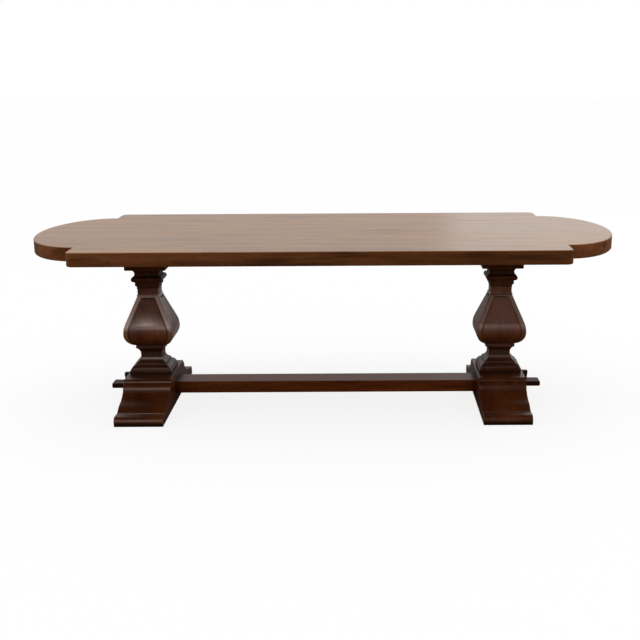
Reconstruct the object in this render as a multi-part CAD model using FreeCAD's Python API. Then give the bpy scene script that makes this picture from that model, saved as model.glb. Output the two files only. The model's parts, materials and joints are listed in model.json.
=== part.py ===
import FreeCAD, Part
import math
import os

# Trestle dining table, in millimetres. The origin is on the floor under the
# middle of the top: X runs along the table, Y across it and Z up.

V = FreeCAD.Vector
ORIGIN = V(0, 0, 0)
ACROSS = V(1, 0, 0)
UP = V(0, 0, 1)
QUARTER_TURN = 90

# Overall sizes
table_height = 762.0
top_length = 2490.0
top_width = 1162.0
top_thickness = 57.0
pedestal_inset = 466.5

# Top: edge-joined boards, sawn to an outline with a bowed tongue at each end
board_count = 9
shoulder_depth = 138.0
shoulder_corner_radius = 30.0
end_reach = 249.0
top_edge_round = 5.0
underside_chamfer = 3.0

# Loose tongues in the joints between the boards
tongue_width = 26.0
tongue_thickness = 10.0
tongue_setback = 90.0
tongue_end_gap = 0.5

# Sled foot under each pedestal, outline given from toe to top
foot_length = 870.0
foot_width = 206.0
foot_height = 136.0
foot_start_share = (0.985, 0.0)
foot_outline_shares = [
    ((1.0, 0.121), (0.955, 0.294)),
    ((0.862, 0.294),),
    ((0.853, 0.257),),
    ((0.832, 0.257),),
    ((0.828, 0.285),),
    ((0.806, 0.296),),
    ((0.756, 0.375), (0.671, 0.449)),
    ((0.572, 0.537), (0.501, 0.669)),
    ((0.492, 0.669),),
    ((0.474, 0.816), (0.428, 0.912)),
    ((0.418, 0.912),),
    ((0.408, 0.967), (0.383, 1.0)),
]

# Plinth slab on the foot
plinth_width = 184.0
plinth_height = 20.0
plinth_edge_round = 4.0

# Pedestal base: ovolo, fillet, cavetto, neck, and a cove out to the baluster
base_height = 94.0
base_foot_width = 175.0
base_neck_width = 94.0
base_top_width = 124.0
base_flare_shares = [
    ((1.0, 0.05),),
    ((0.84, 0.134), (0.58, 0.207)),
    ((0.51, 0.207),),
    ((0.51, 0.295),),
    ((0.20, 0.38), (0.0, 0.54)),
    ((0.0, 0.77),),
]
base_cove_share = (0.41, 0.912)

# Baluster: a square vase with a sunk line round the panel on each face
collar_width = 128.0
belly_width = 218.0
neck_width = 92.0
neck_ledge = 2.0
collar_top_share = 0.053
vase_arc_shares = [
    ((0.884, 0.133), (1.0, 0.272)),
    ((0.974, 0.366), (0.898, 0.456)),
]
vase_top_share = 0.883
panel_margin = 23.0
panel_top_drop = 9.0
panel_line_width = 4.2
panel_line_depth = 3.0
tenon_side = 50.0
tenon_side_gap = 0.2
foot_tenon_web = 20.0
bearer_tenon_web = 25.0
tenon_end_gap = 2.0

# Capital: two steps, a torus and a cove under the cap plate
capital_height = 88.0
capital_width = 136.0
capital_start_share = (0.70, 0.0)
capital_outline_shares = [
    ((0.70, 0.125),),
    ((0.75, 0.15),),
    ((0.79, 0.16),),
    ((0.79, 0.34),),
    ((0.84, 0.36),),
    ((1.0, 0.50), (0.84, 0.64)),
    ((0.80, 0.65),),
    ((0.80, 0.74),),
    ((0.835, 0.89), (0.93, 0.96)),
    ((0.97, 0.96),),
    ((0.97, 1.0),),
]

# Cap plate and the bearer that carries the top
cap_plate_width = 180.0
cap_plate_height = 30.0
cap_plate_edge_round = 4.0
bearer_length = 760.0
bearer_width = 150.0
bearer_height = 72.0
bearer_tip_height = 24.0
bearer_flat_share = 0.28
bearer_curve_share = (0.58, 0.62)

# Stretcher with a through tenon at each end
stretcher_bottom = 43.0
stretcher_width = 128.0
stretcher_thickness = 53.0
stretcher_edge_round = 3.0
through_tenon_width = 68.0
through_tenon_thickness = 22.0
through_tenon_projection = 87.0
through_tenon_end_round = 6.0
through_tenon_gap = 0.3

# Tapered wedge that locks each through tenon outside the foot
wedge_thickness = 22.0
wedge_top_width = 32.0
wedge_bottom_width = 22.0
wedge_above_tenon = 44.0
wedge_below_tenon = 30.0
wedge_edge_chamfer = 3.0
wedge_gap = 0.3
wedge_draw = 4.0

# Hidden fasteners, drawn with a few flat sides
fastener_sides = 8
fastener_gap = 0.2

# Hexagon-headed wood bolts up through each foot
bolt_radius = 5.0
bolt_head_sides = 6
bolt_head_flats = 17.0
bolt_head_height = 7.0
bolt_seat_height = 32.0
bolt_bite = 28.0
bolt_place = 54.0
bolt_counterbore_radius = 13.0

# Low-headed wood screws, for the bearer on its cap plate and the top on its bearer
screw_radius = 3.0
screw_head_radius = 6.5
screw_head_height = 4.0
screw_counterbore_radius = 8.5
cap_screw_seat_depth = 30.0
cap_screw_bite = 20.0
cap_screw_place_x = 52.0
cap_screw_place_y = 62.0
top_screw_seat_depth = 20.0
top_screw_bite = 32.0
top_screw_place_x = 48.0

cut_overrun = 1.0

# Levels and places that follow from the sizes above
top_underside = table_height - top_thickness
plinth_top = foot_height + plinth_height
base_top = plinth_top + base_height
bearer_bottom = top_underside - bearer_height
cap_plate_bottom = bearer_bottom - cap_plate_height
capital_bottom = cap_plate_bottom - capital_height
baluster_height = capital_bottom - base_top
collar_top = base_top + collar_top_share * baluster_height
vase_top = base_top + vase_top_share * baluster_height
pedestal_x = top_length / 2 - pedestal_inset
half_length = top_length / 2 - end_reach
half_width = top_width / 2
bow_half_width = half_width - shoulder_depth
board_width = top_width / board_count
through_tenon_middle = stretcher_bottom + stretcher_thickness / 2
through_tenon_top = through_tenon_middle + through_tenon_thickness / 2
through_tenon_bottom = through_tenon_middle - through_tenon_thickness / 2


def box(low, high):
    """Block between two opposite corners."""
    size = high - low
    return Part.makeBox(size.x, size.y, size.z, low)


def post(radius, low, high, x=0, y=0, sides=fastener_sides):
    """Upright bar between two levels, a regular polygon given by the radius to its corners."""
    turns = [2 * math.pi * number / sides for number in range(sides + 1)]
    corners = [V(x + radius * math.cos(turn), y + radius * math.sin(turn), low) for turn in turns]
    return Part.Face(Part.makePolygon(corners)).extrude(V(0, 0, high - low))


def run_edges(start, steps):
    """Edges through an outline in the XZ plane: a step of one point is straight, one of two is an arc."""
    edges = []
    here = V(start[0], 0, start[1])
    for step in steps:
        points = [V(x, 0, z) for x, z in step]
        if len(points) == 1:
            edges.append(Part.LineSegment(here, points[0]).toShape())
        else:
            edges.append(Part.Arc(here, points[0], points[1]).toShape())
        here = points[-1]
    return edges


def mirrored_prism(start, steps, depth):
    """Solid of an outline and its mirror image, as deep as given along Y and centred on it."""
    right = run_edges(start, steps)
    left = [edge.mirror(ORIGIN, ACROSS) for edge in right]
    last = steps[-1][-1]
    floor = Part.LineSegment(V(-start[0], 0, start[1]), V(start[0], 0, start[1])).toShape()
    roof = Part.LineSegment(V(-last[0], 0, last[1]), V(last[0], 0, last[1])).toShape()
    wire = Part.Wire(Part.sortEdges(right + left + [floor, roof])[0])
    prism = Part.Face(wire).extrude(V(0, depth, 0))
    prism.translate(V(0, -depth / 2, 0))
    return prism


def turned_square(solid):
    """Copy turned a quarter turn about the upright axis."""
    return solid.rotated(ORIGIN, UP, QUARTER_TURN)


def mitred_block(start, steps):
    """Square block whose four sides all follow one outline, with mitred corners."""
    reach = max(abs(point[0]) for step in steps + [(start,)] for point in step)
    prism = mirrored_prism(start, steps, 2 * (reach + cut_overrun))
    return prism.common(turned_square(prism))


def scaled_steps(shares, point):
    """An outline's steps, from a table of shares and a rule for one point."""
    return [tuple(point(*share) for share in step) for step in shares]


def level_edges(solid, level):
    """Edges of a solid that lie flat at one level."""
    return [edge for edge in solid.Edges
            if max(abs(vertex.Z - level) for vertex in edge.Vertexes) < cut_overrun / 100
            and edge.BoundBox.ZLength < cut_overrun / 100]


def square_corners(x_place, y_place):
    """The four corners of a rectangle about the axis."""
    return [(x, y) for x in (-x_place, x_place) for y in (-y_place, y_place)]


def hex_bolt(seat, tip):
    """Wood bolt standing on its axis, with its hexagon head below the seat."""
    head = post(bolt_head_flats / math.sqrt(3), seat - bolt_head_height, seat, sides=bolt_head_sides)
    return head.fuse(post(bolt_radius, seat, tip))


def wood_screw(length):
    """Low-headed screw pointing up, with the underside of its head at zero."""
    head = post(screw_head_radius, -screw_head_height, 0)
    return head.fuse(post(screw_radius, 0, length))


def top_outline():
    """Plan of the top: straight sides, rounded shoulders and a half-oval bow at each end."""
    corner_x = half_length - shoulder_corner_radius
    corner_y = half_width - shoulder_corner_radius
    bend = shoulder_corner_radius * math.sqrt(0.5)
    oval = Part.Ellipse(
        V(half_length, bow_half_width, 0),
        V(half_length + end_reach, 0, 0),
        V(half_length, 0, 0),
    )
    right = [Part.ArcOfEllipse(oval, 0, math.pi).toShape()]
    for side in (-1, 1):
        right.append(Part.LineSegment(
            V(0, side * half_width, 0),
            V(corner_x, side * half_width, 0),
        ).toShape())
        right.append(Part.Arc(
            V(corner_x, side * half_width, 0),
            V(corner_x + bend, side * (corner_y + bend), 0),
            V(half_length, side * corner_y, 0),
        ).toShape())
        right.append(Part.LineSegment(
            V(half_length, side * corner_y, 0),
            V(half_length, side * bow_half_width, 0),
        ).toShape())
    left = [edge.mirror(ORIGIN, ACROSS) for edge in right]
    return Part.Face(Part.Wire(Part.sortEdges(right + left)[0]))


def board_reach(y):
    """How far the top runs along X at a place across it."""
    if abs(y) >= bow_half_width:
        return half_length
    return half_length + end_reach * math.sqrt(1 - (y / bow_half_width) ** 2)


def top_joints():
    """Places across the top where two boards meet."""
    return [-half_width + board_width * number for number in range(1, board_count)]


def tongue(y, width, thickness, length_gap):
    """Loose tongue in the joint at a place across the top, or its groove with a gap at the ends."""
    reach = board_reach(y) - tongue_setback + length_gap
    middle = top_underside + top_thickness / 2
    return box(
        V(-reach, y - width / 2, middle - thickness / 2),
        V(reach, y + width / 2, middle + thickness / 2),
    )


def top_boards():
    """The boards of the top, sawn from one glued panel with a rounded rim and a chamfered underside."""
    panel = top_outline().extrude(V(0, 0, top_thickness))
    panel.translate(V(0, 0, top_underside))
    panel = panel.makeFillet(top_edge_round, level_edges(panel, table_height))
    panel = panel.makeChamfer(underside_chamfer, level_edges(panel, top_underside))
    groove_width = tongue_width + 2 * tongue_end_gap
    grooves = [tongue(y, groove_width, tongue_thickness, tongue_end_gap) for y in top_joints()]
    panel = panel.cut(grooves + top_screw_holes())
    boards = []
    for number in range(board_count):
        near = -half_width + board_width * number
        far = near + board_width
        low_y = near - cut_overrun if number == 0 else near
        high_y = far + cut_overrun if number == board_count - 1 else far
        strip = box(
            V(-top_length, low_y, top_underside - cut_overrun),
            V(top_length, high_y, table_height + cut_overrun),
        )
        boards.append(panel.common(strip))
    return boards


def top_screw_places():
    """Screws from each bearer into the top, in pairs at the middle of the boards it crosses."""
    rows = [side * board_width * number for side in (-1, 1) for number in (1, 2)]
    return [(x, y) for y in rows for x in (-top_screw_place_x, top_screw_place_x)]


def top_screw_holes():
    """Pilot holes in the top for both bearers' screws."""
    depth = top_underside + top_screw_bite + fastener_gap
    return [post(screw_radius + fastener_gap, top_underside - cut_overrun, depth, side * pedestal_x + x, y)
            for side in (-1, 1) for x, y in top_screw_places()]


def sled_foot():
    """Foot across the table, with an ogee sweep from toe to top and the mortises it needs."""
    def place(along, up):
        return (along * foot_length / 2, up * foot_height)
    steps = scaled_steps(foot_outline_shares, place)
    foot = turned_square(mirrored_prism(place(*foot_start_share), steps, foot_width))
    reach = foot_width / 2 + cut_overrun
    mortise = box(
        V(-reach, -through_tenon_width / 2 - through_tenon_gap, through_tenon_bottom - through_tenon_gap),
        V(reach, through_tenon_width / 2 + through_tenon_gap, through_tenon_top + through_tenon_gap),
    )
    socket = tenon_cut(through_tenon_top + foot_tenon_web - tenon_end_gap, foot_height + cut_overrun)
    drills = []
    for x, y in square_corners(bolt_place, bolt_place):
        drills.append(post(bolt_radius + fastener_gap, 0, foot_height + cut_overrun, x, y))
        drills.append(post(bolt_counterbore_radius, -cut_overrun, bolt_seat_height, x, y))
    return foot.cut([mortise, socket] + drills)


def tenon_cut(low, high):
    """Square mortise for a baluster tenon between two levels."""
    half = tenon_side / 2 + tenon_side_gap
    return box(V(-half, -half, low), V(half, half, high))


def bolt_pilots(low, high):
    """Holes for the four foot bolts between two levels."""
    return [post(bolt_radius + fastener_gap, low, high, x, y)
            for x, y in square_corners(bolt_place, bolt_place)]


def eased_slab(width, low, high, round_level, radius):
    """Square slab with a rounded rim at one level."""
    slab = box(V(-width / 2, -width / 2, low), V(width / 2, width / 2, high))
    return slab.makeFillet(radius, level_edges(slab, round_level))


def plinth():
    """Slab between the foot and the pedestal base."""
    slab = eased_slab(plinth_width, foot_height, plinth_top, plinth_top, plinth_edge_round)
    cuts = [tenon_cut(foot_height - cut_overrun, plinth_top + cut_overrun)]
    return slab.cut(cuts + bolt_pilots(foot_height - cut_overrun, plinth_top + cut_overrun))


def pedestal_base():
    """Flared base moulding that narrows to a neck and coves out under the baluster."""
    neck = base_neck_width / 2
    flare = base_foot_width / 2 - neck
    cove = base_top_width / 2 - neck

    def place(out, up):
        return (neck + out * flare, plinth_top + up * base_height)
    steps = scaled_steps(base_flare_shares, place)
    cove_out, cove_up = base_cove_share
    cove_bend = (neck + cove_out * cove, plinth_top + cove_up * base_height)
    steps.append((cove_bend, (base_top_width / 2, base_top)))
    block = mitred_block(place(1, 0), steps)
    cuts = [tenon_cut(plinth_top - cut_overrun, base_top + cut_overrun)]
    pilots = bolt_pilots(plinth_top - cut_overrun, plinth_top + bolt_bite + fastener_gap)
    return block.cut(cuts + pilots)


def vase_steps():
    """Start and steps of the baluster's outline, from its collar to the top of its neck."""
    def place(out, up):
        return (out * belly_width / 2, base_top + up * baluster_height)
    collar = collar_width / 2
    neck = neck_width / 2
    steps = [((collar, collar_top),)]
    steps += scaled_steps(vase_arc_shares, place)
    steps += [((neck + neck_ledge, vase_top),), ((neck, vase_top),), ((neck, capital_bottom),)]
    return (collar, base_top), steps


def panel_line_tool(vase):
    """Cutter for the sunk line round the panel on the front and back of the vase."""
    panel_top = vase_top - panel_top_drop

    def inset(amount, top):
        shrunk = vase.translated(V(-amount, 0, 0)).common(vase.translated(V(amount, 0, 0)))
        return shrunk.common(box(V(-belly_width, -belly_width, collar_top), V(belly_width, belly_width, top)))
    half_line = panel_line_width / 2
    outer = inset(panel_margin - half_line, panel_top + half_line)
    inner = inset(panel_margin + half_line, panel_top - half_line)
    core = vase.translated(V(-panel_line_depth, 0, 0)).common(vase.translated(V(panel_line_depth, 0, 0)))
    return outer.cut([inner, turned_square(core)])


def baluster():
    """Vase-shaped baluster with a tenon at each end."""
    start, steps = vase_steps()
    vase = mirrored_prism(start, steps, belly_width + 2 * cut_overrun)
    body = vase.common(turned_square(vase))
    line = panel_line_tool(vase)
    body = body.cut([line, turned_square(line)])
    half = tenon_side / 2
    low_tenon = box(V(-half, -half, through_tenon_top + foot_tenon_web), V(half, half, base_top))
    high_tenon = box(V(-half, -half, capital_bottom), V(half, half, top_underside - bearer_tenon_web))
    return body.fuse([low_tenon, high_tenon])


def capital():
    """Moulded capital between the baluster's neck and the cap plate."""
    def place(out, up):
        return (out * capital_width / 2, capital_bottom + up * capital_height)
    steps = scaled_steps(capital_outline_shares, place)
    block = mitred_block(place(*capital_start_share), steps)
    return block.cut(tenon_cut(capital_bottom - cut_overrun, cap_plate_bottom + cut_overrun))


def cap_plate():
    """Square plate on the capital, under the bearer."""
    bottom = cap_plate_bottom
    slab = eased_slab(cap_plate_width, bottom, bearer_bottom, bottom, cap_plate_edge_round)
    pilots = [post(screw_radius + fastener_gap, bearer_bottom - cap_screw_bite - fastener_gap,
                  bearer_bottom + cut_overrun, x, y)
              for x, y in square_corners(cap_screw_place_x, cap_screw_place_y)]
    return slab.cut([tenon_cut(bottom - cut_overrun, bearer_bottom + cut_overrun)] + pilots)


def bearer():
    """Beam across the underside of the top, thinned in a curve towards its tips."""
    reach = bearer_length / 2
    flat = bearer_flat_share * reach
    tip_bottom = top_underside - bearer_tip_height
    along, up = bearer_curve_share
    bend = (flat + along * (reach - flat), bearer_bottom + up * (tip_bottom - bearer_bottom))
    steps = [(bend, (reach, tip_bottom)), ((reach, top_underside),)]
    beam = turned_square(mirrored_prism((flat, bearer_bottom), steps, bearer_width))
    cuts = [tenon_cut(bearer_bottom - cut_overrun, top_underside - bearer_tenon_web + tenon_end_gap)]
    for x, y in square_corners(cap_screw_place_x, cap_screw_place_y):
        cuts.append(post(screw_radius + fastener_gap, bearer_bottom - cut_overrun, top_underside, x, y))
        cuts.append(post(screw_counterbore_radius, top_underside - cap_screw_seat_depth,
                        top_underside + cut_overrun, x, y))
    for x, y in top_screw_places():
        cuts.append(post(screw_radius + fastener_gap, bearer_bottom, top_underside + cut_overrun, x, y))
        cuts.append(post(screw_counterbore_radius, bearer_bottom - cut_overrun,
                        top_underside - top_screw_seat_depth, x, y))
    return beam.cut(cuts)


def foot_bolts():
    """Four bolts from the sole of the foot into the pedestal base."""
    bolt = hex_bolt(bolt_seat_height, plinth_top + bolt_bite)
    return Part.makeCompound([bolt.translated(V(x, y, 0)) for x, y in square_corners(bolt_place, bolt_place)])


def cap_screws():
    """Four screws down through the bearer into the cap plate."""
    seat = top_underside - cap_screw_seat_depth
    screw = wood_screw(seat - bearer_bottom + cap_screw_bite).rotated(ORIGIN, ACROSS, 2 * QUARTER_TURN)
    return Part.makeCompound([screw.translated(V(x, y, seat))
                              for x, y in square_corners(cap_screw_place_x, cap_screw_place_y)])


def top_screws():
    """Screws up through the bearer into the top."""
    screw = wood_screw(top_screw_seat_depth + top_screw_bite)
    seat = top_underside - top_screw_seat_depth
    return Part.makeCompound([screw.translated(V(x, y, seat)) for x, y in top_screw_places()])


def wedge_face():
    """Place along X of the outer face of the right foot, where the wedge bears."""
    return pedestal_x + foot_width / 2


def wedge_outline(inner, grow):
    """Side view of the right wedge in the XZ plane, with its sloping outer side moved out by a gap."""
    low = through_tenon_bottom - wedge_below_tenon
    high = through_tenon_top + wedge_above_tenon
    outer = wedge_face() + wedge_gap + grow
    return Part.Face(Part.makePolygon([
        V(inner, 0, low),
        V(outer + wedge_bottom_width, 0, low),
        V(outer + wedge_top_width, 0, high),
        V(inner, 0, high),
        V(inner, 0, low),
    ]))


def right_wedge():
    """Tapered wedge with chamfered ends and sides."""
    wedge = wedge_outline(wedge_face() + wedge_gap, 0).extrude(V(0, wedge_thickness, 0))
    wedge.translate(V(0, -wedge_thickness / 2, 0))
    high = through_tenon_top + wedge_above_tenon
    low = through_tenon_bottom - wedge_below_tenon
    return wedge.makeChamfer(wedge_edge_chamfer, level_edges(wedge, high) + level_edges(wedge, low))


def wedge_slot():
    """Slot through the right tenon for its wedge, cut back a little inside the foot."""
    slot_width = wedge_thickness + 2 * wedge_gap
    slot = wedge_outline(wedge_face() - wedge_draw, wedge_gap).extrude(V(0, slot_width, 0))
    slot.translate(V(0, -slot_width / 2, 0))
    return slot


def stretcher():
    """Plank between the feet, with a tenon through each foot and a slot for its wedge."""
    shoulder = pedestal_x - foot_width / 2
    tip = pedestal_x + foot_width / 2 + through_tenon_projection
    plank = box(
        V(-shoulder, -stretcher_width / 2, stretcher_bottom),
        V(shoulder, stretcher_width / 2, stretcher_bottom + stretcher_thickness),
    )
    long_edges = [edge for edge in plank.Edges if edge.Length > stretcher_width + cut_overrun]
    plank = plank.makeFillet(stretcher_edge_round, long_edges)
    tenons = box(
        V(-tip, -through_tenon_width / 2, through_tenon_bottom),
        V(tip, through_tenon_width / 2, through_tenon_top),
    )
    end_edges = [edge for edge in tenons.Edges if edge.BoundBox.XLength < cut_overrun]
    tenons = tenons.makeFillet(through_tenon_end_round, end_edges)
    slot = wedge_slot()
    return plank.fuse(tenons).cut([slot, slot.mirror(ORIGIN, ACROSS)])


pieces = {}
for number, board in enumerate(top_boards(), start=1):
    pieces[f"top_board_{number}"] = board
for number, y in enumerate(top_joints(), start=1):
    pieces[f"top_tongue_{number}"] = tongue(y, tongue_width, tongue_thickness, 0)

pedestal_pieces = {
    "foot": sled_foot(),
    "plinth": plinth(),
    "pedestal_base": pedestal_base(),
    "baluster": baluster(),
    "capital": capital(),
    "cap_plate": cap_plate(),
    "bearer": bearer(),
    "foot_bolts": foot_bolts(),
    "cap_screws": cap_screws(),
    "top_screws": top_screws(),
}
for side_name, side in (("left", -1), ("right", 1)):
    for name, shape in pedestal_pieces.items():
        pieces[f"{name}_{side_name}"] = shape.translated(V(side * pedestal_x, 0, 0))

pieces["stretcher"] = stretcher()
pieces["wedge_right"] = right_wedge()
pieces["wedge_left"] = right_wedge().mirror(ORIGIN, ACROSS)

os.makedirs("parts", exist_ok=True)
for name, shape in pieces.items():
    shape.exportStep(f"parts/{name}.step")
    print(name, "solids", len(shape.Solids), "valid", shape.isValid(), "cubic mm", round(shape.Volume))
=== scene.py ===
# %% [markdown]
# # A trestle dining table, dressed for its picture
# The CAD frame already holds every board, moulding and wedge at its real size, in metres. This
# lesson gives those pieces eased edges and a stained, lacquered finish, then lights and frames
# them as a studio would. The frame is loaded first and its box is kept, and the lamps are aimed
# at its middle.

# %% Load the frame
import json
import math

import bmesh
import bpy
from mathutils import Matrix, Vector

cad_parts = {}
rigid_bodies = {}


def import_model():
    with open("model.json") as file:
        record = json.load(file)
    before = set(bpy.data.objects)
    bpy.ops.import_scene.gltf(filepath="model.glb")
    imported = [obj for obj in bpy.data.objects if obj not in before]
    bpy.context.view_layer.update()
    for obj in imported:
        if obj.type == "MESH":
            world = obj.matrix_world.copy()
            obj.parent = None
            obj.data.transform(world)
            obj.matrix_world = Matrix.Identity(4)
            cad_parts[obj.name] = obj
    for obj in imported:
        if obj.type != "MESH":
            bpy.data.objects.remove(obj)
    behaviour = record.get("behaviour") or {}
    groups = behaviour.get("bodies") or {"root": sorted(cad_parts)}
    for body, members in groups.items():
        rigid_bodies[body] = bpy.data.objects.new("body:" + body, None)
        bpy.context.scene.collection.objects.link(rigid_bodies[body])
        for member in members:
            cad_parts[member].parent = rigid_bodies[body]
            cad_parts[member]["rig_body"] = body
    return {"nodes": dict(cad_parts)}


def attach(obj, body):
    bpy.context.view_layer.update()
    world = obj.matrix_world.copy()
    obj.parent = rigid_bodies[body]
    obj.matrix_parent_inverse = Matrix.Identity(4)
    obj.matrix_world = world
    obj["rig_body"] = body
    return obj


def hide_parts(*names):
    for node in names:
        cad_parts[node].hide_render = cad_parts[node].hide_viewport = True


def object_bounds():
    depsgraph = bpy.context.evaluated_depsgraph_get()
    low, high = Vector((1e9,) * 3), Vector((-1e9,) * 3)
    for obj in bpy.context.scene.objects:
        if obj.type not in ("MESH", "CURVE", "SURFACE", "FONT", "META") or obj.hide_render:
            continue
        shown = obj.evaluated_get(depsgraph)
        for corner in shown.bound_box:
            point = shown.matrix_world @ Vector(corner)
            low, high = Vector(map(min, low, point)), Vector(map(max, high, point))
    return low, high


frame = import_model()
cad_low, cad_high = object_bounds()
print("pieces in the frame:", len(frame["nodes"]))

# %% [markdown]
# ## A short way to write shader nodes
# Every finish below is a tree of nodes. A few helpers keep the cells readable: one adds a node
# with its settings, one does arithmetic, one moves a value to another range, and one makes an
# empty node group. A group is the right home for an effect that several finishes share, because
# it is built once and then placed with other values.

# %% Node helpers
def add_node(tree, kind, sockets=None, **settings):
    """A new node with its settings, and with plain values on the sockets that are named."""
    node = tree.nodes.new(kind)
    for name, value in settings.items():
        setattr(node, name, value)
    for name, value in (sockets or {}).items():
        node.inputs[name].default_value = value
    return node


def math_node(tree, operation, *values, clamp=False):
    """Arithmetic on a few values, each of them a socket or a plain number."""
    node = add_node(tree, "ShaderNodeMath", operation=operation, use_clamp=clamp)
    for socket, value in zip(node.inputs, values):
        if isinstance(value, float):
            socket.default_value = value
        else:
            tree.links.new(value, socket)
    return node.outputs[0]


def map_value(tree, value, start, end, low=0.0, high=1.0, kind="LINEAR"):
    """A value moved from the range start..end to the range low..high."""
    ends = {"From Min": start, "From Max": end, "To Min": low, "To Max": high}
    node = add_node(tree, "ShaderNodeMapRange", ends, interpolation_type=kind)
    tree.links.new(value, node.inputs["Value"])
    return node.outputs["Result"]


def new_group(name, values_in, values_out):
    """An empty shader group that reads a place, with its inner input and output nodes."""
    tree = bpy.data.node_groups.new(name, "ShaderNodeTree")
    tree.interface.new_socket("Vector", in_out="INPUT", socket_type="NodeSocketVector")
    for socket in values_in:
        tree.interface.new_socket(socket, in_out="INPUT", socket_type="NodeSocketFloat")
    for socket in values_out:
        tree.interface.new_socket(socket, in_out="OUTPUT", socket_type="NodeSocketFloat")
    return tree, tree.nodes.new("NodeGroupInput"), tree.nodes.new("NodeGroupOutput")


print("node helpers are ready")

# %% [markdown]
# ## Wood grain
# Real boards show several things at once: broad streaks where the tree grew faster, fine fibres
# along the board, short dark pores, and in a figured board long dark flecks. All of them are
# noise pulled out along the grain, at four scales. The group expects the grain along X, so each
# material turns its own coordinates first. Solid noise then gives the ends of a board their own
# look. A picture of wood would be quicker, but it would smear on the mouldings.

# %% Grain group
streak_noise = {"scale": 9.0, "detail": 4, "stretch": 0.075}
fibre_noise = {"scale": 85.0, "detail": 3, "stretch": 0.075}
pore_noise = {"scale": 420.0, "detail": 1, "stretch": 0.075}
fleck_noise = {"scale": 26.0, "detail": 2, "stretch": 0.08}
noise_roughness = 0.6
sway_scale = 1.6
sway_detail = 2
sway_reach = 0.03
fleck_range = (0.53, 0.68)
pore_range = (0.60, 0.72)
pore_depth = 0.6
mid_tone = 0.5


def stretched_noise(tree, vector, scale, detail, stretch):
    """Noise drawn out along X."""
    pull = add_node(tree, "ShaderNodeMapping", {"Scale": (stretch, 1, 1)})
    noise = add_node(tree, "ShaderNodeTexNoise",
                     {"Scale": scale, "Detail": detail, "Roughness": noise_roughness})
    tree.links.new(vector, pull.inputs["Vector"])
    tree.links.new(pull.outputs["Vector"], noise.inputs["Vector"])
    return noise.outputs["Fac"]


def wood_grain_group():
    """Tone, pores, flecks and surface height of long-grained wood."""
    tree, into, out = new_group("wood grain", ("Streaks", "Fibres"),
                                ("Tone", "Pores", "Flecks", "Height"))
    sway = add_node(tree, "ShaderNodeTexNoise", {"Scale": sway_scale, "Detail": sway_detail})
    bend = add_node(tree, "ShaderNodeVectorMath", {"Scale": sway_reach}, operation="SCALE")
    swayed = add_node(tree, "ShaderNodeVectorMath", operation="ADD")
    tree.links.new(into.outputs["Vector"], sway.inputs["Vector"])
    tree.links.new(sway.outputs["Color"], bend.inputs[0])
    tree.links.new(into.outputs["Vector"], swayed.inputs[0])
    tree.links.new(bend.outputs["Vector"], swayed.inputs[1])
    grain = swayed.outputs["Vector"]

    streaks = math_node(tree, "SUBTRACT", stretched_noise(tree, grain, **streak_noise), mid_tone)
    fibres = math_node(tree, "SUBTRACT", stretched_noise(tree, grain, **fibre_noise), mid_tone)
    broad = math_node(tree, "MULTIPLY_ADD", streaks, into.outputs["Streaks"], mid_tone)
    tone = math_node(tree, "MULTIPLY_ADD", fibres, into.outputs["Fibres"], broad, clamp=True)
    pores = map_value(tree, stretched_noise(tree, grain, **pore_noise), *pore_range)
    flecks = map_value(tree, stretched_noise(tree, grain, **fleck_noise), *fleck_range)
    height = math_node(tree, "SUBTRACT", tone, math_node(tree, "MULTIPLY", pores, pore_depth))
    for name, value in (("Tone", tone), ("Pores", pores), ("Flecks", flecks), ("Height", height)):
        tree.links.new(value, out.inputs[name])
    return tree


wood_grain = wood_grain_group()
print("grain group nodes:", len(wood_grain.nodes))

# %% [markdown]
# ## Rubbed edges with painted highlight, and painted shade in the corners
# Hands, cloths and chair backs rub the stain thin on the edges, and the lighter colour there also
# paints the highlight that an edge catches. Closed corners and the quirks of the mouldings get
# painted shade. The Bevel node shows where a rounded normal would leave the true one, which is only
# at edges, and noise breaks that up, since wear is never even. The ambient occlusion node shows
# where a point is shut in, which is where the painted shade goes.

# %% Edge and corner group
edge_round_reach = 0.004
edge_round_samples = 4
edge_range = (0.995, 0.90)
patch_scale = 14
patch_detail = 3
patch_range = (0.35, 0.65)
least_edge_share = 0.25
corner_reach = 0.06
corner_samples = 6
corner_range = (0.85, 0.45)


def wear_light_and_shade_group():
    """Masks for rubbed edges with painted highlight, and for painted shade in closed corners."""
    tree, into, out = new_group("edge wear light and shade", (), ("Edges", "Corners"))
    shape = add_node(tree, "ShaderNodeNewGeometry")
    rounded = add_node(tree, "ShaderNodeBevel", {"Radius": edge_round_reach}, samples=edge_round_samples)
    same = add_node(tree, "ShaderNodeVectorMath", operation="DOT_PRODUCT")
    patchy = add_node(tree, "ShaderNodeTexNoise", {"Scale": patch_scale, "Detail": patch_detail})
    tree.links.new(shape.outputs["Normal"], same.inputs[0])
    tree.links.new(rounded.outputs["Normal"], same.inputs[1])
    tree.links.new(into.outputs["Vector"], patchy.inputs["Vector"])
    # Edges: where the stain is rubbed thin and where the painted highlight goes.
    edge = map_value(tree, same.outputs["Value"], *edge_range)
    uneven = map_value(tree, patchy.outputs["Fac"], *patch_range, low=least_edge_share)
    tree.links.new(math_node(tree, "MULTIPLY", edge, uneven), out.inputs["Edges"])

    # Painted shade goes where ambient occlusion finds a point shut in.
    shut_in = add_node(tree, "ShaderNodeAmbientOcclusion", {"Distance": corner_reach},
                       samples=corner_samples)
    tree.links.new(map_value(tree, shut_in.outputs["AO"], *corner_range), out.inputs["Corners"])
    return tree


edge_wear_light_and_shade = wear_light_and_shade_group()
print("edge wear light and shade group nodes:", len(edge_wear_light_and_shade.nodes))
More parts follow.
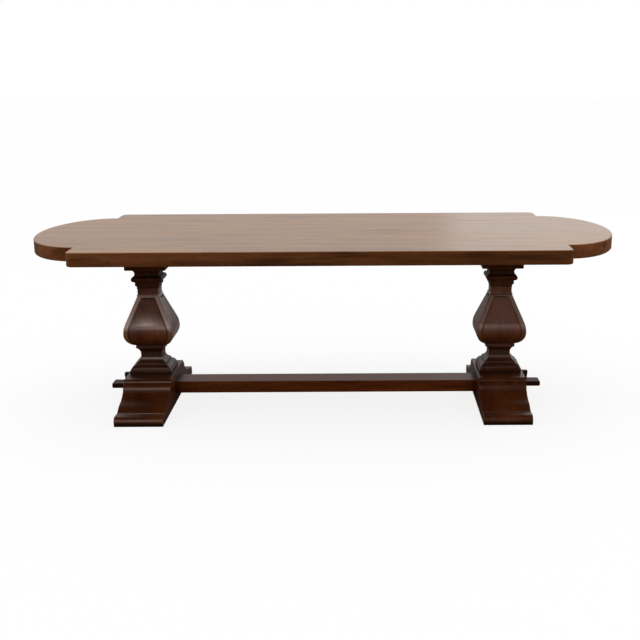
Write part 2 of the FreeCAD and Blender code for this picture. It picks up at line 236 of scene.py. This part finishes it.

# %% [markdown]
# ## Painted highlight on the vase bands and painted shade in the lines
# Each face of a vase has a panel inside a sunk line. The bands outside the line get a pale painted
# highlight along the corners and across the top, the line gets painted shade, and more painted
# shade goes under the belly and on the collar. All of that follows from plain geometry: on a square
# piece, the distance to the nearest corner is the difference between the two distances from its
# axis. The last mask is a low crown across each panel, so that its sheen is a soft patch, as on a
# panel that was sanded by hand.

# %% Vase band group
plinth_places = [corner[0] for corner in frame["nodes"]["plinth_right"].bound_box]
pedestal_x = (min(plinth_places) + max(plinth_places)) / 2
vase_low = 0.264
vase_top = 0.484
panel_inset = 0.023
panel_top = 0.475
shoulder_low = 0.33
shoulder_high = 0.36
# Top of the painted shade low on the vase.
low_shade_top = 0.312
ledge_reach = 0.0025
line_half = 0.0026
line_drop = 0.0015
blur = 0.001


def soft_step(tree, value, start, end):
    """Zero at the start, one at the end and a soft change between them."""
    return map_value(tree, value, start, end, kind="SMOOTHSTEP")


def distance_to(tree, value, level):
    """How far a value lies from a level."""
    return math_node(tree, "ABSOLUTE", math_node(tree, "SUBTRACT", value, level))


def band_masks(tree, height, inset):
    """Masks of the painted highlight on the bands above the shoulder and on the belly."""
    line_top = panel_top - line_drop + line_half
    ledge = vase_top + ledge_reach
    under_ledge = soft_step(tree, height, ledge + blur, ledge)
    above_collar = soft_step(tree, height, vase_low, vase_low + blur)
    shoulder = soft_step(tree, height, shoulder_low, shoulder_high)
    corner = soft_step(tree, inset, panel_inset - line_half, panel_inset - line_half - blur)
    rail = soft_step(tree, height, line_top - blur, line_top)
    both = math_node(tree, "MULTIPLY", math_node(tree, "MAXIMUM", corner, rail), under_ledge)
    below = math_node(tree, "SUBTRACT", above_collar, shoulder)
    return {
        "Bands": math_node(tree, "MULTIPLY", both, shoulder),
        "Belly Bands": math_node(tree, "MULTIPLY", corner, below),
    }


def line_mask(tree, height, inset):
    """The sunk line up both sides of a panel and across its top, which takes painted shade."""
    line_level = panel_top - line_drop
    beside = soft_step(tree, distance_to(tree, inset, panel_inset), line_half + blur, line_half)
    under_top = soft_step(tree, height, line_level + line_half, line_level)
    across = soft_step(tree, distance_to(tree, height, line_level), line_half + blur, line_half)
    within = soft_step(tree, inset, panel_inset - line_half, panel_inset)
    lines = math_node(tree, "MAXIMUM", math_node(tree, "MULTIPLY", beside, under_top),
                      math_node(tree, "MULTIPLY", across, within))
    above_collar = soft_step(tree, height, vase_low, vase_low + blur)
    return math_node(tree, "MULTIPLY", lines, above_collar)


def crown_mask(tree, along, across):
    """One in the middle of a panel, falling to zero at its sides."""
    half_width = math_node(tree, "SUBTRACT", math_node(tree, "MAXIMUM", along, across), panel_inset)
    sideways = math_node(tree, "DIVIDE", math_node(tree, "MINIMUM", along, across), half_width)
    fall = math_node(tree, "SUBTRACT", 1.0, math_node(tree, "MULTIPLY", sideways, sideways))
    return math_node(tree, "MAXIMUM", fall, 0.0)


def vase_bands_group():
    """Masks for painted highlight on bands, painted shade in lines and low down, and a crown."""
    marks = ("Bands", "Belly Bands", "Lines", "Low Glaze", "Crown")
    tree, into, out = new_group("vase bands", (), marks)
    parts = add_node(tree, "ShaderNodeSeparateXYZ")
    tree.links.new(into.outputs["Vector"], parts.inputs["Vector"])
    height = parts.outputs["Z"]
    along = distance_to(tree, math_node(tree, "ABSOLUTE", parts.outputs["X"]), pedestal_x)
    across = math_node(tree, "ABSOLUTE", parts.outputs["Y"])
    inset = distance_to(tree, along, across)
    masks = band_masks(tree, height, inset)
    masks["Lines"] = line_mask(tree, height, inset)
    # Painted shade low on the vase, under the belly and on the collar.
    masks["Low Glaze"] = soft_step(tree, height, low_shade_top, vase_low)
    masks["Crown"] = crown_mask(tree, along, across)
    for mark in marks:
        tree.links.new(masks[mark], out.inputs[mark])
    return tree


vase_bands = vase_bands_group()
print("vase band group nodes:", len(vase_bands.nodes))

# %% [markdown]
# ## Stain
# A finisher stains the bare wood first. The grain picks a colour between a dark, a middle and a
# light stain, and pores and flecks darken it. Rubbed edges turn it lighter and redder, which is
# wear and painted highlight together, and painted shade turns closed corners nearly black. On a
# vase the painted highlight of the bands and the painted shade of the lines come in between, and
# the painted corner shade is left off the pale bands.

# %% Stain colour
stain_stops = (0.25, 0.5, 0.78)
pore_share = 0.55
fleck_share = 0.75
# How far rubbed edges move to the lighter colour, which is wear and painted highlight together.
rubbed_and_lit_share = 0.6
# How far closed corners move to the dark colour, as painted shade.
corner_shade_share = 0.92
# Colours of the painted highlight on the belly bands and on the pale bands.
band_highlights = {"Belly Bands": (0.27, 0.13, 0.045), "Bands": (0.62, 0.42, 0.35)}


def blend_colour(tree, mask, share, under, over):
    """Colour under, with a share of colour over laid on it by a mask."""
    mix = add_node(tree, "ShaderNodeMix", data_type="RGBA")
    tree.links.new(math_node(tree, "MULTIPLY", mask, share), mix.inputs["Factor"])
    tree.links.new(under, mix.inputs["A"])
    mix.inputs["B"].default_value = (*over, 1)
    return mix.outputs["Result"]


def grain_colour(tree, figure, stains, dark, flecks):
    """The stain that the grain picks, darkened by pores and flecks."""
    ramp = add_node(tree, "ShaderNodeValToRGB")
    ramp.color_ramp.elements.new(mid_tone)
    for element, position, stain in zip(ramp.color_ramp.elements, stain_stops, stains):
        element.position = position
        element.color = (*stain, 1)
    tree.links.new(figure.outputs["Tone"], ramp.inputs["Fac"])
    colour = blend_colour(tree, figure.outputs["Pores"], pore_share, ramp.outputs["Color"], dark)
    if flecks:
        colour = blend_colour(tree, figure.outputs["Flecks"], fleck_share, colour, flecks)
    return colour


def worn_lit_and_shaded_colour(tree, place, colour, rubbed_and_lit, dark, bands):
    """Colour with rubbed edges that carry painted highlight, and painted shade in closed corners.
    """
    # This group gives rubbed edges with painted highlight, and painted shade in closed corners.
    wear = add_node(tree, "ShaderNodeGroup", node_tree=edge_wear_light_and_shade)
    tree.links.new(place.outputs["Object"], wear.inputs["Vector"])
    colour = blend_colour(tree, wear.outputs["Edges"], rubbed_and_lit_share, colour, rubbed_and_lit)
    # Painted shade in closed corners, kept off the pale bands of a vase.
    corners = wear.outputs["Corners"]
    if bands:
        off_bands = math_node(tree, "SUBTRACT", 1.0, bands.outputs["Bands"])
        corners = math_node(tree, "MULTIPLY", corners, off_bands)
    return blend_colour(tree, corners, corner_shade_share, colour, dark)


print("stain stops:", stain_stops)

# %% [markdown]
# ## Lacquer
# Lacquer goes over the stain. It is satin, so the roughness wanders a little with the grain, and
# the sheen is low and warm, because a white studio would turn a stronger one grey. The vases get
# a thin broad coat as well, which stays out of the sunk lines. Relief is very small: pores sink
# by a fraction of a millimetre, and the crown of a panel swells by one.

# %% Lacquer and relief
sheen_tint = (1.0, 0.88, 0.80)
satin_low = 0.85
satin_high = 1.2
line_rough = 0.7
coat = 0.13
coat_rough = 0.40
grain_depth = 0.0006
crown_height = 0.001


def add_lacquer(tree, surface, figure, shine, rough, bands):
    """Sheen and roughness of the lacquer."""
    roughness = map_value(tree, figure.outputs["Tone"], 0.0, 1.0,
                          rough * satin_low, rough * satin_high)
    surface.inputs["Specular IOR Level"].default_value = shine
    surface.inputs["Specular Tint"].default_value = (*sheen_tint, 1)
    if bands:
        lines = bands.outputs["Lines"]
        dull = math_node(tree, "MULTIPLY", lines, line_rough)
        roughness = math_node(tree, "MAXIMUM", roughness, dull)
        off_lines = math_node(tree, "SUBTRACT", 1.0, lines)
        tree.links.new(math_node(tree, "MULTIPLY", off_lines, coat), surface.inputs["Coat Weight"])
        surface.inputs["Coat Roughness"].default_value = coat_rough
    tree.links.new(roughness, surface.inputs["Roughness"])


def add_relief(tree, surface, figure, relief, bands):
    """Bump of the grain, on top of the crown of a vase panel."""
    bump = add_node(tree, "ShaderNodeBump", {"Strength": relief, "Distance": grain_depth})
    tree.links.new(figure.outputs["Height"], bump.inputs["Height"])
    if bands:
        swell = add_node(tree, "ShaderNodeBump", {"Strength": 1.0, "Distance": crown_height})
        tree.links.new(bands.outputs["Crown"], swell.inputs["Height"])
        tree.links.new(swell.outputs["Normal"], bump.inputs["Normal"])
    tree.links.new(bump.outputs["Normal"], surface.inputs["Normal"])


print("satin roughness varies from", satin_low, "to", satin_high, "times its mean")

# %% [markdown]
# ## The wood finishes
# One function makes every wood finish of the table. Only the stains, the direction of the grain,
# the sheen and the marks differ between the top, its rim, the pedestals and the hidden timber.
# The pedestal pieces share one stain in several dark tones. The low tones of the capital and the
# tenons are painted shade, for the shade of the top over the capital and of the feet round the
# tenons, and the tenons' end grain darkens them as well. The left vase takes more painted
# highlight on its bands and more painted shade in its lines than the right one.

# %% Wood finishes
GRAIN_TURNS = {
    "along": (0, 0, 0),
    "across": (0, 0, -math.pi / 2),
    "upright": (0, math.pi / 2, 0),
}
dark_share = 0.2
fibre_strength = 0.7
vase_relief = 0.03


def wood_finish(name, grain, stains, shine, rough, rubbed_and_lit=None, relief=0.12, streaks=1.1,
                flecks=None, vase_painted_light=None):
    """A stained and lacquered wood whose grain runs along, across or upright."""
    material = bpy.data.materials.new(name)
    material.use_nodes = True
    tree = material.node_tree
    surface = tree.nodes["Principled BSDF"]
    place = add_node(tree, "ShaderNodeTexCoord")
    turn = add_node(tree, "ShaderNodeMapping", {"Rotation": GRAIN_TURNS[grain]})
    figure = add_node(tree, "ShaderNodeGroup", {"Streaks": streaks, "Fibres": fibre_strength},
                      node_tree=wood_grain)
    tree.links.new(place.outputs["Object"], turn.inputs["Vector"])
    tree.links.new(turn.outputs["Vector"], figure.inputs["Vector"])

    dark = tuple(channel * dark_share for channel in stains[0])
    colour = grain_colour(tree, figure, stains, dark, flecks)
    bands = None
    if vase_painted_light:
        bands = add_node(tree, "ShaderNodeGroup", node_tree=vase_bands)
        tree.links.new(place.outputs["Object"], bands.inputs["Vector"])
        for mark, share in vase_painted_light.items():
            # Bands take a painted highlight colour; the lines and the low shade take the dark
            # colour as painted shade.
            stain = band_highlights.get(mark, dark)
            colour = blend_colour(tree, bands.outputs[mark], share, colour, stain)
    # Rubbed edges with painted highlight, and painted shade in closed corners.
    if rubbed_and_lit:
        colour = worn_lit_and_shaded_colour(tree, place, colour, rubbed_and_lit, dark, bands)
    tree.links.new(colour, surface.inputs["Base Color"])
    add_lacquer(tree, surface, figure, shine, rough, bands)
    add_relief(tree, surface, figure, relief, bands)
    return material


top_stains = ((0.175, 0.069, 0.016), (0.290, 0.124, 0.032), (0.400, 0.188, 0.062))
top_flecks = (0.14, 0.044, 0.006)
# The rim's stains and flecks are darker than the top's, as painted shade on the faces that turn
# down.
rim_shaded_stains = ((0.10, 0.031, 0.010), (0.165, 0.054, 0.018), (0.23, 0.080, 0.029))
rim_shaded_flecks = (0.06, 0.020, 0.008)
plain_stains = ((0.20, 0.11, 0.055), (0.30, 0.18, 0.095), (0.40, 0.26, 0.15))
# Lighter edge colour of the hidden timber: rubbed stain and painted highlight together.
plain_rubbed_and_lit = (0.42, 0.28, 0.16)
pedestal_stains = ((0.070, 0.014, 0.003), (0.126, 0.029, 0.006), (0.185, 0.048, 0.011))
# Lighter edge colour of the pedestals: rubbed stain and painted highlight together.
pedestal_rubbed_and_lit = (0.27, 0.12, 0.06)
finishes = {
    "top": wood_finish("lacquered top", "along", top_stains, shine=0.18, rough=0.30,
                       relief=0.04, streaks=1.0, flecks=top_flecks),
    "rim": wood_finish("stained rim", "along", rim_shaded_stains, shine=0.02, rough=0.42,
                       relief=0.06, streaks=1.6, flecks=rim_shaded_flecks),
    "plain": wood_finish("plain timber", "across", plain_stains, shine=0.25, rough=0.55,
                         rubbed_and_lit=plain_rubbed_and_lit),
}

# For each piece of the trestle: direction of the grain, tone of the stain, shine and roughness.
# The low tones of the capital and the tenon paint the shade of the top and of the feet.
pedestal_finishes = {
    "foot": ("across", 0.56, 0.10, 0.35),
    "base": ("upright", 0.38, 0.10, 0.38),
    "capital": ("upright", 0.58, 0.04, 0.42),
    "stretcher": ("along", 1.4, 0.06, 0.36),
    "tenon": ("along", 0.3, 0.04, 0.40),
    "left vase": ("upright", 1.15, 0.06, 0.17),
    "right vase": ("upright", 1.10, 0.06, 0.36),
}
# For each vase: how much painted highlight its bands take, and how much painted shade goes in its
# lines and low down. The left vase takes more of both.
vase_painted_light = {
    "left vase": {"Belly Bands": 0.6, "Bands": 0.85, "Lines": 1.0, "Low Glaze": 0.5},
    "right vase": {"Belly Bands": 0.2, "Bands": 0.25, "Lines": 0.4, "Low Glaze": 0.4},
}
for part, (grain, tone, shine, rough) in pedestal_finishes.items():
    stains = [[channel * tone for channel in stain] for stain in pedestal_stains]
    extras = {"vase_painted_light": vase_painted_light[part], "relief": vase_relief} if part in vase_painted_light else {}
    finishes[part] = wood_finish(f"dark stain {part}", grain, stains, shine, rough,
                                 rubbed_and_lit=pedestal_rubbed_and_lit, **extras)
print("wood finishes:", ", ".join(finishes))

# %% [markdown]
# ## Steel for the hidden fasteners
# The bolts in the feet and the screws in the bearers only show from below. They are plain
# zinc-coated steel, dulled by damp. A metal needs no specular colour of its own, only a base
# colour, and blotchy noise in its roughness.

# %% Fastener steel
blotch_scale = 180
blotch_detail = 4
steel_tints = ((0.20, 0.19, 0.18), (0.46, 0.46, 0.45))
steel_rough = (0.28, 0.6)


def dull_steel():
    """Grey metal with dull blotches."""
    material = bpy.data.materials.new("dull steel")
    material.use_nodes = True
    tree = material.node_tree
    surface = tree.nodes["Principled BSDF"]
    place = add_node(tree, "ShaderNodeTexCoord")
    blotch = add_node(tree, "ShaderNodeTexNoise", {"Scale": blotch_scale, "Detail": blotch_detail})
    tint = add_node(tree, "ShaderNodeValToRGB")
    for element, colour in zip(tint.color_ramp.elements, steel_tints):
        element.color = (*colour, 1)
    rough = map_value(tree, blotch.outputs["Fac"], 0.0, 1.0, *steel_rough)
    tree.links.new(place.outputs["Object"], blotch.inputs["Vector"])
    tree.links.new(blotch.outputs["Fac"], tint.inputs["Fac"])
    tree.links.new(tint.outputs["Color"], surface.inputs["Base Color"])
    tree.links.new(rough, surface.inputs["Roughness"])
    surface.inputs["Metallic"].default_value = 1.0
    return material


finishes["steel"] = dull_steel()
print("finishes in all:", len(finishes))

# %% [markdown]
# ## Eased edges
# No maker leaves a knife edge on furniture: every corner is taken off with a block of sandpaper,
# and that small round is what catches the light. The CAD solids are sharp, and their meshes are
# loose triangles. So each visible piece is copied, its points are merged, flat triangles are
# joined, and its sharp edges are bevelled. Weighted normals keep the broad faces flat in shading
# while the bevel turns the corner. Level faces are shaded flat, or the rounded rim would bend the
# light over the whole top.

# %% Finished copies
merge_distance = 0.00001
flat_angle = math.radians(1.0)
sharp_angle = math.radians(24)
shading_angle = math.radians(40)
level_limit = 0.9999
ease_segments = 2
round_profile = 0.5


def ease_edges(work, ease):
    """Take the sharp edges off a piece."""
    sharp = [edge for edge in work.edges
             if edge.is_manifold and edge.calc_face_angle() > sharp_angle]
    bmesh.ops.bevel(work, geom=sharp, offset=ease, affect="EDGES", segments=ease_segments,
                    profile=round_profile, material=-1, clamp_overlap=True)


def worked_mesh(node, ease, takes_other, shape):
    """The mesh of a CAD piece, cleaned, shaped and eased."""
    work = bmesh.new()
    work.from_mesh(frame["nodes"][node].data)
    bmesh.ops.remove_doubles(work, verts=work.verts, dist=merge_distance)
    bmesh.ops.dissolve_limit(work, angle_limit=flat_angle, verts=work.verts, edges=work.edges)
    if shape:
        shape(work)
    if ease:
        ease_edges(work, ease)
    work.normal_update()
    for face in work.faces:
        face.material_index = 1 if takes_other and takes_other(face) else 0
    mesh = bpy.data.meshes.new(f"{node}_finished")
    work.to_mesh(mesh)
    work.free()
    mesh.set_sharp_from_angle(angle=shading_angle)
    for face in mesh.polygons:
        face.use_smooth = face.normal.z < level_limit
    return mesh


def finished_copy(node, finish, ease, other_finish=None, takes_other=None, shape=None):
    """A copy of a CAD piece with eased edges, shown in place of it."""
    mesh = worked_mesh(node, ease, takes_other, shape)
    mesh.materials.append(finishes[finish])
    if other_finish:
        mesh.materials.append(finishes[other_finish])
    piece = bpy.data.objects.new(f"{node}_finished", mesh)
    bpy.context.scene.collection.objects.link(piece)
    if ease:
        flatten = piece.modifiers.new("flat faces", "WEIGHTED_NORMAL")
        flatten.keep_sharp = True
    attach(piece, frame["nodes"][node]["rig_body"])
    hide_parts(node)


print("edges sharper than", round(math.degrees(sharp_angle)), "degrees are eased")

# %% [markdown]
# ## The table top
# The top is nine boards edge-glued with loose tongues, then sawn to its outline and rounded at the
# rim. The joints are glued and planed flush, so the boards get no bevel of their own, only smooth
# shading on the rounded rim. The faces that turn down into the rim take a finish of their own,
# darkened with painted shade.

# %% Top boards
level_share = 0.6


def on_rim(face):
    """Whether a face of a board turns down into the rim."""
    return face.normal.z < level_share


top_boards = sorted(name for name in frame["nodes"] if name.startswith("top_board"))
for name in top_boards:
    finished_copy(name, "top", ease=0, other_finish="rim", takes_other=on_rim)
print("top boards:", len(top_boards))

# %% [markdown]
# ## The pedestals
# Each pedestal is a stack: sled foot, plinth, base moulding, vase-shaped baluster, capital, cap
# plate and bearer. The feet and bearers are cut with the grain across the table, and the moulded
# blocks stand with it upright. Big plain pieces lose more of their edge to the sandpaper than
# small mouldings do.

# %% Pedestal pieces
# For each piece: its finish, and how far its edges are eased in metres.
pedestal_plan = {
    "foot": ("foot", 0.0015),
    "plinth": ("foot", 0.001),
    "pedestal_base": ("base", 0.0008),
    "capital": ("capital", 0.0008),
    "cap_plate": ("capital", 0.001),
    "bearer": ("foot", 0.0015),
}
sides = ("left", "right")
for part, (finish, ease) in pedestal_plan.items():
    for side in sides:
        finished_copy(f"{part}_{side}", finish, ease)
print("pedestal pieces:", len(sides) * len(pedestal_plan))

# %% [markdown]
# ## The vase-shaped balusters
# The four corners of a vase are worked round with a scraper, from just above the collar to just
# below the ledge, and a pale painted highlight is laid on them. That is why the corner bands look
# paler than the panels between the sunk lines. The corner edges are found by their place, since
# both distances from the axis are equal there.

# %% Balusters
vase_ease = 0.0008
corner_radius = 0.006
corner_segments = 4
corner_slack = 0.0005


def vase_corners(work):
    """Round the four upright corners of the vase that is being worked."""
    places = [vert.co.x for vert in work.verts]
    middle_x = (min(places) + max(places)) / 2

    def on_corner(vert):
        off_corner = abs(abs(vert.co.x - middle_x) - abs(vert.co.y))
        in_reach = vase_low - corner_slack < vert.co.z < vase_top + corner_slack
        return off_corner < corner_slack and in_reach

    corners = [edge for edge in work.edges if all(on_corner(vert) for vert in edge.verts)]
    bmesh.ops.bevel(work, geom=corners, offset=corner_radius, affect="EDGES",
                    segments=corner_segments, profile=round_profile, material=-1)
    print("corner edges rounded:", len(corners))


for side in sides:
    finished_copy(f"baluster_{side}", f"{side} vase", vase_ease,
                  shape=vase_corners)

# %% [markdown]
# ## Stretcher and wedges
# The stretcher's tenons run through the feet, and a tapered wedge through each tenon pulls the
# joint tight. The tenons end in end grain and stand in the shade of the feet, so they take a darker
# stain for the end grain and painted shade for the shade of the feet. The wedges ride on their own
# bodies, because they lift out when the table is taken apart.

# %% Stretcher and wedges
stretcher_ease = 0.0012
wedge_ease = 0.0008
tenon_start = min(vert.co.x for vert in frame["nodes"]["foot_right"].data.vertices)


def on_tenon(face):
    """Whether a face of the stretcher belongs to one of its tenons."""
    return abs(face.calc_center_median().x) > tenon_start


finished_copy("stretcher", "stretcher", stretcher_ease,
              other_finish="tenon", takes_other=on_tenon)
for side in sides:
    finished_copy(f"wedge_{side}", "base", wedge_ease)
print("stretcher and two wedges eased")

# %% [markdown]
# ## What stays inside
# Tongues, bolts and screws are hidden in the joints. They stay as the frame has them and only get
# their finish. A piece that has a finished copy no longer renders, so the pieces that still do
# are the hidden ones.

# %% Hidden pieces
for name, node in frame["nodes"].items():
    if node.hide_render:
        continue
    finish = "plain" if name.startswith("top_tongue") else "steel"
    node.data.materials.clear()
    node.data.materials.append(finishes[finish])
    print(name, finish)

# %% [markdown]
# ## A white studio
# The table stands on a pale floor with nothing behind it. For the camera, floor and sky are plain
# white, apart from a soft shadow, and reflections see a white sky too. For the light that falls
# on the wood, the sky is brighter overhead than at the horizon, like a large soft ceiling light.
# The floor gives back only a soft grey, so the undersides stay dark.

# %% Floor and sky
floor_half = 40.0
floor_grey = 0.35
floor_pale = 0.95
floor_white_share = 0.82
floor_white = 1.04
horizon_level = 0.4
ceiling_level = 1.2


def white_rays(tree):
    """One where a ray comes from the camera, a reflection or glass, else zero."""
    path = add_node(tree, "ShaderNodeLightPath")
    shiny = math_node(tree, "MAXIMUM", path.outputs["Is Glossy Ray"],
                      path.outputs["Is Transmission Ray"])
    return math_node(tree, "MAXIMUM", path.outputs["Is Camera Ray"], shiny)


def floor_finish():
    """White with a soft shadow for the camera, and a matt grey for every other ray."""
    material = bpy.data.materials.new("pale floor")
    material.use_nodes = True
    tree = material.node_tree
    tree.nodes.remove(tree.nodes["Principled BSDF"])
    camera_ray = add_node(tree, "ShaderNodeLightPath").outputs["Is Camera Ray"]
    tone = add_node(tree, "ShaderNodeMix", data_type="RGBA")
    tone.inputs["A"].default_value = (floor_grey, floor_grey, floor_grey, 1)
    tone.inputs["B"].default_value = (floor_pale, floor_pale, floor_pale, 1)
    matt = add_node(tree, "ShaderNodeBsdfDiffuse")
    white = add_node(tree, "ShaderNodeEmission", {"Color": (1, 1, 1, 1), "Strength": floor_white})
    mix = add_node(tree, "ShaderNodeMixShader")
    tree.links.new(camera_ray, tone.inputs["Factor"])
    tree.links.new(tone.outputs["Result"], matt.inputs["Color"])
    tree.links.new(math_node(tree, "MULTIPLY", camera_ray, floor_white_share), mix.inputs["Fac"])
    tree.links.new(matt.outputs["BSDF"], mix.inputs[1])
    tree.links.new(white.outputs["Emission"], mix.inputs[2])
    tree.links.new(mix.outputs["Shader"], tree.nodes["Material Output"].inputs["Surface"])
    return material


def pale_floor():
    """A wide level floor under the feet."""
    work = bmesh.new()
    bmesh.ops.create_grid(work, x_segments=1, y_segments=1, size=floor_half)
    mesh = bpy.data.meshes.new("floor")
    work.to_mesh(mesh)
    work.free()
    mesh.materials.append(floor_finish())
    floor = bpy.data.objects.new("floor", mesh)
    bpy.context.scene.collection.objects.link(floor)


def soft_sky():
    """White for the camera and reflections, brighter overhead for the light it gives."""
    world = bpy.data.worlds.new("studio")
    bpy.context.scene.world = world
    world.use_nodes = True
    tree = world.node_tree
    tree.nodes.clear()
    place = add_node(tree, "ShaderNodeTexCoord")
    parts = add_node(tree, "ShaderNodeSeparateXYZ")
    light = add_node(tree, "ShaderNodeBackground")
    white = add_node(tree, "ShaderNodeBackground", {"Color": (1, 1, 1, 1), "Strength": 1.0})
    mix = add_node(tree, "ShaderNodeMixShader")
    out = add_node(tree, "ShaderNodeOutputWorld")
    tree.links.new(place.outputs["Generated"], parts.inputs["Vector"])
    square = math_node(tree, "MULTIPLY", parts.outputs["Z"], parts.outputs["Z"])
    level = math_node(tree, "MULTIPLY_ADD", square, ceiling_level, horizon_level)
    tree.links.new(level, light.inputs["Strength"])
    tree.links.new(white_rays(tree), mix.inputs["Fac"])
    tree.links.new(light.outputs["Background"], mix.inputs[1])
    tree.links.new(white.outputs["Background"], mix.inputs[2])
    tree.links.new(mix.outputs["Shader"], out.inputs["Surface"])


pale_floor()
soft_sky()
bpy.context.scene.view_settings.view_transform = "Standard"
print("floor of", 2 * floor_half, "metres and a white sky")

# %% [markdown]
# ## Windows and softboxes
# A tall narrow window in front and to the left puts the bright patches on the left pedestal, a
# wide one puts the sheen on the feet, and three softboxes round off the mouldings. These five give
# highlights alone, and each is linked to the pieces it is meant for, because from behind they
# would glare on the level top. A faint window behind the table and a lamp at each end light
# everything.

# %% Window light
table_middle = (cad_low + cad_high) / 2
uprights = ("pedestal_base", "baluster", "capital")

# For each lamp: its place, its width and height in metres, and its watts.
lamp_plan = {
    "key window": ((-1.91, -5.03, 3.6), 0.15, 0.9, 120),
    "foot window": ((-1.4, -5.0, 3.5), 2.4, 2.0, 290),
    "front softbox": ((0.0, -6.6, 2.5), 5.0, 1.5, 400),
    "left softbox": ((-5.6, -5.0, 2.6), 1.4, 2.4, 300),
    "right softbox": ((5.6, -5.2, 2.6), 1.4, 2.4, 300),
    "back window": ((2.6, 6.0, 2.0), 3.4, 1.5, 12),
    "left lamp": ((-6.5, -1.0, 1.5), 1.5, 1.5, 60),
    "right lamp": ((6.5, -1.0, 1.5), 1.5, 1.5, 60),
}

# For each lamp of highlights: how the names of its pieces start.
highlight_pieces = {
    "key window": tuple(part + "_left" for part in uprights),
    "foot window": ("foot", "plinth", "pedestal_base"),
    "front softbox": uprights,
    "left softbox": uprights,
    "right softbox": uprights,
}


def window(name, place, width, height, watts):
    """A soft rectangle of light that faces the table."""
    lamp = bpy.data.lights.new(name, "AREA")
    lamp.shape = "RECTANGLE"
    lamp.size = width
    lamp.size_y = height
    lamp.energy = watts
    holder = bpy.data.objects.new(name, lamp)
    holder.location = place
    away = holder.location - table_middle
    holder.rotation_euler = away.to_track_quat("Z", "Y").to_euler()
    bpy.context.scene.collection.objects.link(holder)
    return holder


def shine_only(lamp, starts):
    """Let a lamp give highlights alone, and only on the pieces whose names start so."""
    group = bpy.data.collections.new(f"{lamp.name} pieces")
    for piece in bpy.data.objects:
        if piece.name.startswith(starts) and piece.name.endswith("_finished"):
            group.objects.link(piece)
    lamp.visible_diffuse = False
    lamp.light_linking.receiver_collection = group


for name, (place, width, height, watts) in lamp_plan.items():
    lamp = window(name, place, width, height, watts)
    if name in highlight_pieces:
        shine_only(lamp, highlight_pieces[name])
print("lamps:", len(lamp_plan), "of which for highlights:", len(highlight_pieces))

# %% [markdown]
# ## The camera
# The picture was taken from just right of the middle and a little under standing eye level, and
# its frame was cropped off centre. A lens shift does the same as that crop, without turning the
# camera. The lens is given in pixels of the picture, which is how it was measured, and is turned
# into millimetres here.

# %% Camera
picture_side = 640
sensor_side = 36.0
focal_pixels = 1141.0
axis_pixel_x = 361.0
axis_pixel_y = 400.0
camera_place = (0.1694, -5.0007, 1.4750)
camera_yaw = -0.0023
camera_pitch = 0.2894
camera_roll = -0.0059

lens = bpy.data.cameras.new("camera")
lens.sensor_width = sensor_side
lens.lens = focal_pixels / picture_side * sensor_side
lens.shift_x = (picture_side / 2 - axis_pixel_x) / picture_side
lens.shift_y = (axis_pixel_y - picture_side / 2) / picture_side
camera = bpy.data.objects.new("camera", lens)
camera.matrix_world = (
    Matrix.Translation(camera_place)
    @ Matrix.Rotation(-camera_yaw, 4, "Z")
    @ Matrix.Rotation(math.pi / 2 - camera_pitch, 4, "X")
    @ Matrix.Rotation(camera_roll, 4, "Z")
)
bpy.context.scene.collection.objects.link(camera)
bpy.context.scene.camera = camera
print("lens", round(lens.lens, 1), "mm")
